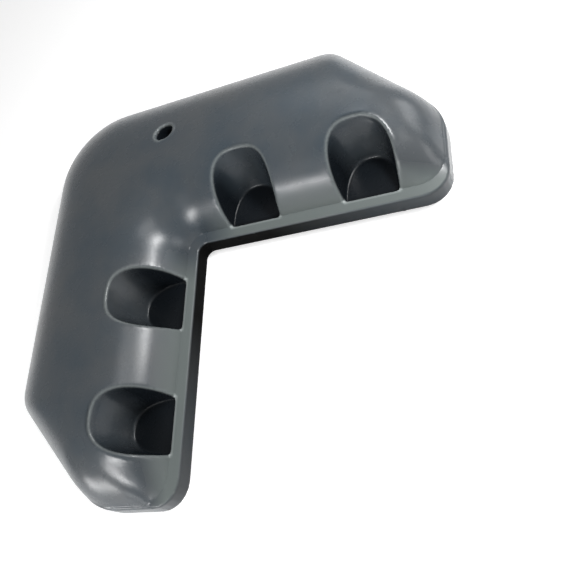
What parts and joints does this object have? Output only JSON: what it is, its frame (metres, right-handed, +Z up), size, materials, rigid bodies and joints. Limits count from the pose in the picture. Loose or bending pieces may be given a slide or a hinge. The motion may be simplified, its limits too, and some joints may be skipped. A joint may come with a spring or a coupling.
{
  "type": "dock corner bumper",
  "caption": "L-shaped moulded vinyl bumper for the corner of a dock, with a flat base, a domed body and D-shaped screw pockets along the inner edges.",
  "frame": {"origin": "on the flat base, under the middle of the bounding box", "axes": "+Z up from the flat base; one leg runs along +X and the other along +Y, and the inner angle opens towards +X +Y"},
  "size_m": [0.353, 0.353, 0.053],
  "materials": {
    "grey_vinyl": "satin moulded vinyl, slate grey, slightly mottled, brighter along the rolled edges"
  },
  "bodies": {
    "root": {"bumper_body": "grey_vinyl"}
  },
  "joints": []
}
